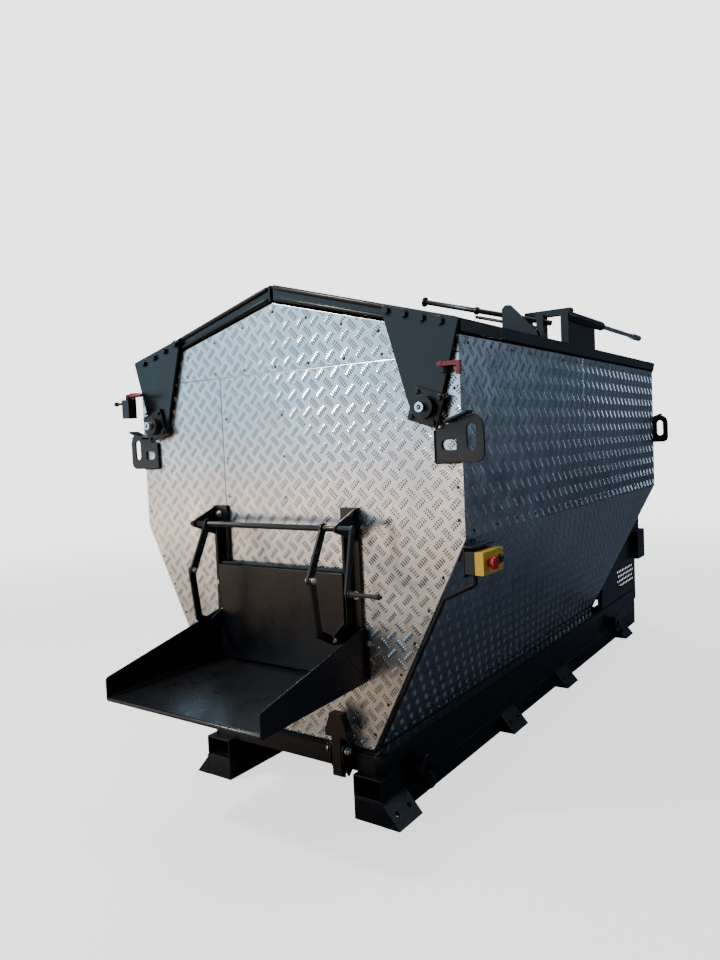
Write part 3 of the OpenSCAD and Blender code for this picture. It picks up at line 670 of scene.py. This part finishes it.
def welds(name: str, body: str, runs: list[tuple[Point, Point]], radius: float = 0.004) -> None:
    """Lays several beads as one piece.

    Args:
        name: The piece's name.
        body: The body that carries it.
        runs: Start and end of each bead.
        radius: The beads' radius.
    """
    beads = [Weld(f"{name}_{i}", a, b, radius).bead() for i, (a, b) in enumerate(runs)]
    Bench.hand_over(Bench.join(name, beads), body, CAST_BLACK)


@dataclass
class HexBolt:
    """A zinc hexagon bolt head on a washer."""

    spot: Point
    way: Point
    radius: float = 0.009

    def model(self) -> bpy.types.Object:
        """Models head, washer and the thread's end.

        Returns:
            The bolt, undressed.
        """
        spot, way = Vector(self.spot), Vector(self.way).normalized()
        r = self.radius
        washer = Bench.rod("washer", spot, spot + way * 0.2 * r, 1.35 * r, 24)
        head = Bench.rod("head", spot + way * 0.2 * r, spot + way * 0.95 * r, r * 1.05, 6)
        Bench.soften(head, 0.1 * r)
        stub = Bench.rod("stub", spot + way * 0.95 * r, spot + way * 1.25 * r, 0.5 * r, 12)
        return Bench.join("bolt", [head, washer, stub])


def bolts(name: str, body: str, heads: list[HexBolt], finish: Finish = ZINC) -> None:
    """Sets several bolts as one piece.

    Args:
        name: The piece's name.
        body: The body that carries them.
        heads: The bolts.
        finish: Their finish.
    """
    piece = Bench.join(name, [bolt.model() for bolt in heads])
    Bench.smooth(piece, 30.0)
    Bench.hand_over(piece, body, finish)


@dataclass
class Discharge:
    """Gate, crank, chute and their small hardware."""

    front: float = -1.310
    lever: Flat = (-1.501, 0.838)
    edging: Flat = (-1.334, 0.838)
    grip_axis: Flat = (-1.465, 0.797)
    ear: Flat = (-1.411, 0.624)

    def build(self) -> None:
        """Adds bolts, welds, the gate's rubber edge and the hand grip."""
        pins = []
        for s in (-1.0, 1.0):
            pins.append(HexBolt((s * 0.2615, *self.lever), (-s, 0.0, 0.0), 0.0085))
            pins.append(HexBolt((s * 0.2815, *self.lever), (s, 0.0, 0.0), 0.0085))
        bolts("lever_bolts", "crank", pins)
        bolts("clamp_bolts", "hook", [
            HexBolt((0.246 + s * 0.0355, -1.362, 0.236), (s, 0.0, 0.0), 0.0125)
            for s in (-1.0, 1.0)])
        bolts("ear_bolts", "gate", [
            HexBolt((s * 0.286, *self.ear), (s, 0.0, 0.0), 0.008) for s in (-1.0, 1.0)])
        rails = []
        for s in (-1.0, 1.0):
            for x, z in ((0.306, 1.020), (0.316, 0.760)):
                rails.append(HexBolt((s * x, self.front - 0.012, z), (0.0, -1.0, 0.0), 0.0102))
            rails.append(HexBolt((s * 0.357, self.front - 0.006, 0.600), (0.0, -1.0, 0.0), 0.008))
        bolts("rail_bolts", BASE, rails)
        self.rubber_edge()
        self.chute_welds()
        self.grip()

    def rubber_edge(self) -> None:
        """Sets the ribbed rubber edging behind the gate's top flange."""
        Bench.clear()
        bpy.ops.mesh.primitive_torus_add(
            major_radius=0.0052, minor_radius=0.0016, major_segments=12, minor_segments=6,
            location=(-0.284, *self.edging), rotation=(0.0, math.pi / 2, 0.0),
        )
        piece = Bench.settle("gate_edging")
        Bench.row(piece, (0.0034, 0.0, 0.0), 168)
        core = Bench.rod("gate_edging_core", (-0.285, *self.edging), (0.285, *self.edging),
                         0.0052, 12)
        piece = Bench.join("gate_edging", [piece, core])
        Bench.smooth(piece, 60.0)
        Bench.hand_over(piece, "gate", RUBBER)

    def chute_welds(self) -> None:
        """Lays the beads where the chute, rails and bearing plates are joined."""
        chute: list[tuple[Point, Point]] = []
        bearing: list[tuple[Point, Point]] = []
        ear: list[tuple[Point, Point]] = []
        for s in (-1.0, 1.0):
            chute.append(((s * 0.337, -1.322, 0.4775), (s * 0.337, -1.826, 0.4675)))
            chute.append(((s * 0.3425, -1.3165, 0.484), (s * 0.3425, -1.3165, 0.642)))
            for x in (0.3285, 0.3215):
                bearing.append(((s * x, -1.3225, 0.945), (s * x, -1.3225, 1.045)))
            ear.append(((s * 0.2875, -1.3565, 0.602), (s * 0.2875, -1.3565, 0.666)))
        welds("chute_welds", BASE, chute, 0.0035)
        welds("bearing_welds", BASE, bearing, 0.0025)
        welds("ear_welds", "gate", ear, 0.0025)

    def grip(self) -> None:
        """Models the crank's ribbed hand grip with a flared end."""
        Bench.clear()
        bpy.ops.mesh.primitive_cylinder_add(
            vertices=28, radius=0.0098, depth=0.112, location=(0.449, *self.grip_axis),
            rotation=(0.0, math.pi / 2, 0.0),
        )
        piece = Bench.settle("hand_grip")
        Bench.only(piece)
        bpy.ops.object.mode_set(mode="EDIT")
        first, pitch = 0.402, 0.0072
        for i in range(13):
            for shift, size in ((0.0, 1.0), (0.0035, 0.92)):
                x = first + i * pitch + shift
                bpy.ops.mesh.select_all(action="SELECT")
                bpy.ops.mesh.bisect(plane_co=(x, 0.0, 0.0), plane_no=(1.0, 0.0, 0.0))
                bpy.ops.transform.resize(
                    value=(1.0, size, size), center_override=(x, *self.grip_axis))
        bpy.ops.object.mode_set(mode="OBJECT")
        Bench.soften(piece, 0.0015)
        Bench.smooth(piece, 50.0)
        collar = Bench.rod("grip_collar", (0.392, *self.grip_axis), (0.397, *self.grip_axis),
                           0.013)
        Bench.soften(collar, 0.001)
        piece = Bench.join("hand_grip", [piece, collar])
        Bench.smooth(piece, 50.0)
        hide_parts("crank_grip")
        Bench.hand_over(piece, "grip", BOX_BLACK)


@dataclass
class Conduit:
    """The ribbed conduit along the slanted front edge."""

    path: list[Point] = field(default_factory=lambda: [
        (0.748, -1.300, 0.860), (0.748, -1.300, 0.826), (0.6372, -1.300, 0.770),
        (0.3671, -1.300, 0.240)])
    radius: float = 0.0064
    rib_pitch: float = 0.0036

    def build(self) -> None:
        """Models the ribs and the core."""
        made = []
        for i in range(len(self.path) - 1):
            a, b = Vector(self.path[i]), Vector(self.path[i + 1])
            way = b - a
            Bench.clear()
            bpy.ops.mesh.primitive_torus_add(
                major_radius=self.radius, minor_radius=0.0016, major_segments=14,
                minor_segments=6)
            rib = Bench.settle("rib")
            count = max(2, int(way.length / self.rib_pitch))
            Bench.row(rib, (0.0, 0.0, self.rib_pitch), count)
            where = way.to_track_quat("Z", "Y").to_matrix().to_4x4()
            where.translation = a
            Bench.place(rib, where)
            made.append(rib)
            made.append(Bench.rod("core", a, b, self.radius - 0.0002, 14))
        piece = Bench.join("ribbed_conduit", made)
        Bench.smooth(piece, 60.0)
        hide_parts("control_conduit")
        Bench.hand_over(piece, BASE, RUBBER)


@dataclass
class Controls:
    """The control box's buttons and the screws of its cover."""

    button_z: float = 0.8955

    def mushroom(self) -> None:
        """Models the emergency stop's mushroom head on its collar."""
        y, z = -1.304, self.button_z
        Bench.clear()
        bpy.ops.mesh.primitive_cylinder_add(
            vertices=40, radius=0.0198, depth=0.012, location=(0.8145, y, z),
            rotation=(0.0, math.pi / 2, 0.0))
        cap = Bench.settle("stop_cap")
        Bench.only(cap)
        bpy.ops.object.mode_set(mode="EDIT")
        bpy.ops.mesh.select_all(action="DESELECT")
        bpy.ops.object.mode_set(mode="OBJECT")
        for face in cap.data.polygons:
            face.select = face.normal.x > 0.9
        bpy.ops.object.mode_set(mode="EDIT")
        for depth, size in ((0.0, 0.72), (-0.0015, 0.8)):
            bpy.ops.mesh.inset(thickness=0.003)
            bpy.ops.transform.translate(value=(depth, 0.0, 0.0))
            bpy.ops.transform.resize(value=(1.0, size, size), center_override=(0.82, y, z))
        bpy.ops.object.mode_set(mode="OBJECT")
        Bench.soften(cap, 0.0022, 3)
        stem = Bench.rod("stop_stem", (0.788, y, z), (0.812, y, z), 0.0108, 28)
        collar = Bench.rod("stop_collar", (0.8005, y, z), (0.808, y, z), 0.0150, 28)
        Bench.soften(collar, 0.001)
        cap = Bench.join("stop_cap", [cap, stem, collar])
        Bench.smooth(cap, 50.0)
        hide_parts("stop_button")
        Bench.hand_over(cap, "stop", RED_CAP)

    def start(self) -> None:
        """Models the flat start button in its bezel."""
        y, z = -1.226, self.button_z
        cap = Bench.rod("start_cap", (0.788, y, z), (0.8045, y, z), 0.0108, 28)
        Bench.soften(cap, 0.0012, 3)
        Bench.smooth(cap, 50.0)
        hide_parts("start_button")
        Bench.hand_over(cap, "start", BLACK_CAP)
        bezel = Bench.rod("start_bezel", (0.7945, y, z), (0.7985, y, z), 0.0148, 28)
        Bench.soften(bezel, 0.001)
        Bench.smooth(bezel, 50.0)
        Bench.hand_over(bezel, BASE, BOX_BLACK)

    def build(self) -> None:
        """Builds buttons and the cover's screws."""
        self.mushroom()
        self.start()
        heads = []
        for y in (-1.332, -1.208):
            for z in (0.868, 0.921):
                heads.append(Bench.rod("screw", (0.7945, y, z), (0.7965, y, z), 0.0034, 16))
        piece = Bench.join("cover_screws", heads)
        Bench.soften(piece, 0.0006)
        Bench.hand_over(piece, BASE, ZINC)


@dataclass
class Lids:
    """Rolled rims at both ends of both lids."""

    front: float = -1.312
    rear: float = 0.972
    inner: float = 0.020
    outer: float = 0.722
    ridge: float = 1.835
    fall: float = 0.284

    def edge(self, side: float, name: str, y0: float, y1: float) -> None:
        """Models a rolled rim that caps one end of a lid.

        Args:
            side: 1 for the right lid, -1 for the left.
            name: The piece's name.
            y0: Where the rim starts.
            y1: Where it ends.
        """
        body = "right_lid" if side > 0 else "left_lid"
        rims = []
        for lift, radius in ((-0.0085, 0.0085), (-0.045, 0.0065)):
            high = self.ridge - self.fall * self.inner + lift
            low = self.ridge - self.fall * self.outer + lift * 0.8
            a = (side * self.inner, (y0 + y1) / 2, high)
            b = (side * self.outer, (y0 + y1) / 2, low)
            rim = Bench.rod("rim", a, b, radius, 16)
            Bench.soften(rim, radius * 0.4, 3)
            rims.append(rim)
        piece = Bench.join(name, rims)
        Bench.smooth(piece, 50.0)
        Bench.hand_over(piece, body, BLACK)

    def build(self) -> None:
        """Builds the four pairs of rims."""
        for side, name in ((1.0, "right"), (-1.0, "left")):
            self.edge(side, name + "_front_rim", self.front - 0.004, self.front + 0.002)
            self.edge(side, name + "_rear_rim", self.rear - 0.002, self.rear + 0.004)


@dataclass
class Skid:
    """Weld beads of the skid, the deck and the lashing lugs."""

    def build(self) -> None:
        """Lays the beads that show from outside."""
        runs: list[tuple[Point, Point]] = []
        for s in (-1.0, 1.0):
            runs.append(((s * 0.4055, -1.34, 0.0775), (s * 0.4055, 1.69, 0.0775)))
            for y in (-1.275, -0.350, 0.310, 1.340):
                runs.append(((s * 0.4060, y - 0.075, 0.0765), (s * 0.4060, y + 0.075, 0.0765)))
        welds("skid_welds", BASE, runs, 0.004)
        deck = [((-0.352, -1.3125, 0.2315), (0.352, -1.3125, 0.2315))]
        for s in (-1.0, 1.0):
            deck.append(((s * 0.3545, -1.30, 0.2325), (s * 0.3545, 0.96, 0.2325)))
        welds("deck_welds", BASE, deck, 0.0035)
        lugs: list[tuple[Point, Point]] = []
        for s in (-1.0, 1.0):
            for y in (-1.3185, 0.9785):
                lugs.append(((s * 0.638, y, 1.1955), (s * 0.722, y, 1.1955)))
                lugs.append(((s * 0.6355, y, 1.20), (s * 0.6355, y, 1.298)))
        welds("lug_welds", BASE, lugs, 0.0035)


@dataclass
class Housing:
    """Door louvres and side baffles of the rear power compartment."""

    louvres: int = 9
    lowest: float = 0.60
    pitch: float = 0.035

    def baffles(self) -> None:
        """Closes the gaps between the rear wall and the guards with thin sheets."""
        sheets = []
        for s in (-1.0, 1.0):
            inner, outer = sorted((s * 0.392, s * 0.395))
            sheets.append(Bench.block("baffle", (inner, 0.974, 0.2345), (outer, 1.066, 0.444)))
        piece = Bench.join("side_baffles", sheets)
        Bench.soften(piece, 0.0008)
        Bench.hand_over(piece, BASE, BLACK)

    def build(self) -> None:
        """Adds the louvres and the baffles."""
        self.baffles()
        fins = []
        for i in range(self.louvres):
            z = self.lowest + self.pitch * i
            fin = Bench.block("fin", (-0.20, 1.823, z), (0.20, 1.831, z + 0.018))
            Bench.only(fin)
            bpy.ops.object.mode_set(mode="EDIT")
            bpy.ops.mesh.select_all(action="DESELECT")
            bpy.ops.object.mode_set(mode="OBJECT")
            for vertex in fin.data.vertices:
                vertex.select = vertex.co.y > 1.827 and vertex.co.z > z + 0.009
            bpy.ops.object.mode_set(mode="EDIT")
            bpy.ops.transform.translate(value=(0.0, -0.0075, 0.0))
            bpy.ops.object.mode_set(mode="OBJECT")
            fins.append(fin)
        piece = Bench.join("door_louvres", fins)
        Bench.soften(piece, 0.001)
        Bench.hand_over(piece, "door", BLACK)


@dataclass
class Dressing:
    """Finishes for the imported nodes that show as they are."""

    soft_edge: float = 0.0016
    weld_within: float = 0.00002

    def finish_of(self, node: str) -> Finish:
        """Chooses a node's finish.

        Args:
            node: The node's name.

        Returns:
            The finish.
        """
        table = {
            "front_cladding": SHEET, "right_cladding": SHEET, "left_cladding": SHEET,
            "rear_cladding": SHEET, "hopper_walls": LINER, "hopper_ends": LINER,
            "burner_tube": LINER, "auger": LINER, "insulation": WOOL,
            "pivot_shafts": BRIGHT, "latch_pull": BRIGHT, "control_box": BOX_BLACK,
            "control_cover": BOX_YELLOW, "auger_drive": MOTOR, "left_lid_lining": FOIL,
            "right_lid_lining": FOIL, "left_lid_seal": SEAL, "right_lid_seal": SEAL,
            "left_switch_lever": RED_LEVER, "right_switch_lever": RED_LEVER,
            "lashing_rings_front": CAST_BLACK, "lashing_rings_rear": CAST_BLACK,
            "left_lid_bearings": CAST_BLACK, "right_lid_bearings": CAST_BLACK,
            "skid_runners": CAST_BLACK, "skid_feet": CAST_BLACK, "clamp_hook": CAST_BLACK,
        }
        return table.get(node, BLACK)

    def build(self) -> None:
        """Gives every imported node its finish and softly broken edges."""
        for name, node in frame["nodes"].items():
            node.data.materials.clear()
            node.data.materials.append(self.finish_of(name).material())
            weld = node.modifiers.new("close", "WELD")
            weld.merge_threshold = self.weld_within
            edge = node.modifiers.new("broken_edge", "BEVEL")
            edge.width = self.soft_edge
            edge.segments = 2
            edge.limit_method = "ANGLE"
            edge.angle_limit = BROKEN_FROM
            edge.use_clamp_overlap = True
        log.info("dressed %d nodes", len(frame["nodes"]))


@dataclass
class Studio:
    """Pale floor, soft lights and the camera."""

    camera_at: Point = (1.766, -3.344, 1.275)
    right: Point = (0.82010, 0.57061, -0.04304)
    down: Point = (-0.00526, -0.06770, -0.99770)
    forward: Point = (-0.57221, 0.81843, -0.05251)
    lens: float = 28.23

    def floor(self) -> None:
        """Adds the plain pale floor."""
        Bench.clear()
        bpy.ops.mesh.primitive_plane_add(size=60.0, location=(0.0, 0.0, 0.0))
        ground = Bench.settle("studio_floor")
        ground.data.materials.append(self.floor_with_painted_light())

    def floor_with_painted_light(self) -> bpy.types.Material:
        """Makes the floor pale to look at; to reflections and bounce light it is painted with light
        and shade: a warm, brighter sunlit tone in front and painted shade on the right.

        Returns:
            The floor's material.
        """
        paint = bpy.data.materials.new("studio_floor")
        paint.use_nodes = True
        nodes, links = paint.node_tree.nodes, paint.node_tree.links
        seen = nodes["Principled BSDF"]
        seen.inputs["Base Color"].default_value = (0.80, 0.80, 0.80, 1.0)
        seen.inputs["Roughness"].default_value = 0.9
        seen.inputs["Specular IOR Level"].default_value = 0.1
        seen.inputs["Emission Color"].default_value = (1.0, 1.0, 1.0, 1.0)
        seen.inputs["Emission Strength"].default_value = 1.5
        place = nodes.new("ShaderNodeTexCoord")
        apart = nodes.new("ShaderNodeSeparateXYZ")
        links.new(place.outputs["Object"], apart.inputs["Vector"])
        # Painted shade: the floor darkens towards the right, where the machine's shadow falls.
        shade_across = nodes.new("ShaderNodeMapRange")
        shade_across.inputs["From Min"].default_value = -0.8
        shade_across.inputs["From Max"].default_value = 0.7
        links.new(apart.outputs["X"], shade_across.inputs["Value"])
        sides = nodes.new("ShaderNodeMix")
        sides.data_type = "RGBA"
        sides.inputs["A"].default_value = (0.26, 0.27, 0.29, 1.0)
        sides.inputs["B"].default_value = (0.120, 0.128, 0.155, 1.0)
        links.new(shade_across.outputs["Result"], sides.inputs["Factor"])
        slope = nodes.new("ShaderNodeMath")
        slope.operation = "MULTIPLY_ADD"
        slope.inputs[1].default_value = 0.3
        links.new(apart.outputs["X"], slope.inputs[0])
        links.new(apart.outputs["Y"], slope.inputs[2])
        # Painted light: a warm tone in front, brighter than the rest, stands in for sunlit ground;
        # the ground's own tan is part of it.
        painted_sun_ahead = nodes.new("ShaderNodeMapRange")
        painted_sun_ahead.inputs["From Min"].default_value = -2.0
        painted_sun_ahead.inputs["From Max"].default_value = -1.2
        links.new(slope.outputs["Value"], painted_sun_ahead.inputs["Value"])
        # Mixes the painted sunlit front with the painted shade across the floor.
        ground = nodes.new("ShaderNodeMix")
        ground.data_type = "RGBA"
        ground.inputs["A"].default_value = (0.42, 0.30, 0.21, 1.0)
        links.new(painted_sun_ahead.outputs["Result"], ground.inputs["Factor"])
        links.new(sides.outputs["Result"], ground.inputs["B"])
        # Only reflections and bounce light see this painted light and shade; the camera sees the
        # plain pale floor.
        painted_bounce = nodes.new("ShaderNodeBsdfDiffuse")
        links.new(ground.outputs["Result"], painted_bounce.inputs["Color"])
        reach = nodes.new("ShaderNodeVectorMath")
        reach.operation = "LENGTH"
        links.new(place.outputs["Object"], reach.inputs[0])
        fade = nodes.new("ShaderNodeMapRange")
        fade.inputs["From Min"].default_value = 2.6
        fade.inputs["From Max"].default_value = 9.0
        fade.interpolation_type = "SMOOTHSTEP"
        links.new(reach.outputs["Value"], fade.inputs["Value"])
        haze = nodes.new("ShaderNodeEmission")
        haze.inputs["Strength"].default_value = 3.0
        far = nodes.new("ShaderNodeMixShader")
        links.new(fade.outputs["Result"], far.inputs["Fac"])
        links.new(seen.outputs["BSDF"], far.inputs[1])
        links.new(haze.outputs["Emission"], far.inputs[2])
        path = nodes.new("ShaderNodeLightPath")
        mix = nodes.new("ShaderNodeMixShader")
        links.new(path.outputs["Is Camera Ray"], mix.inputs["Fac"])
        links.new(painted_bounce.outputs["BSDF"], mix.inputs[1])
        links.new(far.outputs["Shader"], mix.inputs[2])
        links.new(mix.outputs["Shader"], nodes["Material Output"].inputs["Surface"])
        return paint

    def lamp(
        self, name: str, spot: Point, aim: Point, size: Flat, power: float, tint: Point
    ) -> None:
        """Adds a soft rectangular light.

        Args:
            name: The light's name.
            spot: Where it stands.
            aim: What it looks at.
            size: Its width and height.
            power: Its power in watts.
            tint: Its colour.
        """
        data = bpy.data.lights.new(name, "AREA")
        data.shape = "RECTANGLE"
        data.size, data.size_y = size
        data.energy = power
        data.color = tint
        lamp = bpy.data.objects.new(name, data)
        bpy.context.scene.collection.objects.link(lamp)
        lamp.location = spot
        lamp.rotation_euler = (Vector(aim) - Vector(spot)).to_track_quat("-Z", "Y").to_euler()

    def sky(self) -> None:
        """Sets a pale backdrop that lights only softly."""
        world = bpy.data.worlds.new("studio")
        world.use_nodes = True
        bpy.context.scene.world = world
        nodes, links = world.node_tree.nodes, world.node_tree.links
        out = nodes["World Output"]
        soft = nodes["Background"]
        soft.inputs["Color"].default_value = (0.32, 0.43, 0.60, 1.0)
        soft.inputs["Strength"].default_value = 0.15
        plain = nodes.new("ShaderNodeBackground")
        plain.inputs["Color"].default_value = (1.0, 1.0, 1.0, 1.0)
        plain.inputs["Strength"].default_value = 3.0
        path = nodes.new("ShaderNodeLightPath")
        mix = nodes.new("ShaderNodeMixShader")
        links.new(path.outputs["Is Camera Ray"], mix.inputs["Fac"])
        links.new(soft.outputs["Background"], mix.inputs[1])
        links.new(plain.outputs["Background"], mix.inputs[2])
        links.new(mix.outputs["Shader"], out.inputs["Surface"])

    def camera(self) -> None:
        """Adds the camera."""
        data = bpy.data.cameras.new("view")
        data.lens = self.lens
        data.sensor_width = 36.0
        data.clip_end = 200.0
        cam = bpy.data.objects.new("view", data)
        bpy.context.scene.collection.objects.link(cam)
        up, back = -Vector(self.down), -Vector(self.forward)
        where = Matrix((Vector(self.right), up, back)).transposed().to_4x4()
        where.translation = Vector(self.camera_at)
        cam.matrix_world = where
        bpy.context.scene.camera = cam

    def build(self) -> None:
        """Sets up floor, lights and camera."""
        self.floor()
        self.sky()
        self.camera()
        lamps = (
            ("cool_card", (-4.1, -6.4, 2.7), (0.0, -1.3, 1.3), (7.5, 3.4), 136.0,
             (0.50, 0.79, 1.0)),
            ("warm_card", (-4.1, -6.4, 0.5), (0.0, -1.3, 0.9), (7.5, 0.9), 66.0, (1.0, 0.70, 0.48)),
            ("key", (-2.6, -4.6, 5.2), (0.2, -1.0, 0.8), (0.7, 0.7), 260.0, (1.0, 0.96, 0.9)),
            ("side_strip", (5.6, 3.4, 3.2), (0.7, 0.0, 1.2), (1.6, 2.8), 48.0, (0.66, 0.83, 1.0)),
            ("back_fill", (-4.2, 6.2, 3.2), (0.0, 1.0, 1.0), (3.4, 2.6), 260.0, (0.86, 0.93, 1.0)),
            ("top", (0.5, 0.0, 5.5), (0.0, 0.0, 0.0), (4.0, 4.0), 110.0, (0.84, 0.92, 1.0)),
        )
        for lamp in lamps:
            self.lamp(*lamp)


def main() -> None:
    """Builds the looks in order."""
    Dressing().build()
    Cladding().build()
    Discharge().build()
    Conduit().build()
    Controls().build()
    Lids().build()
    Skid().build()
    Housing().build()
    Studio().build()
    bpy.context.view_layer.update()


if __name__ == "__main__":
    main()
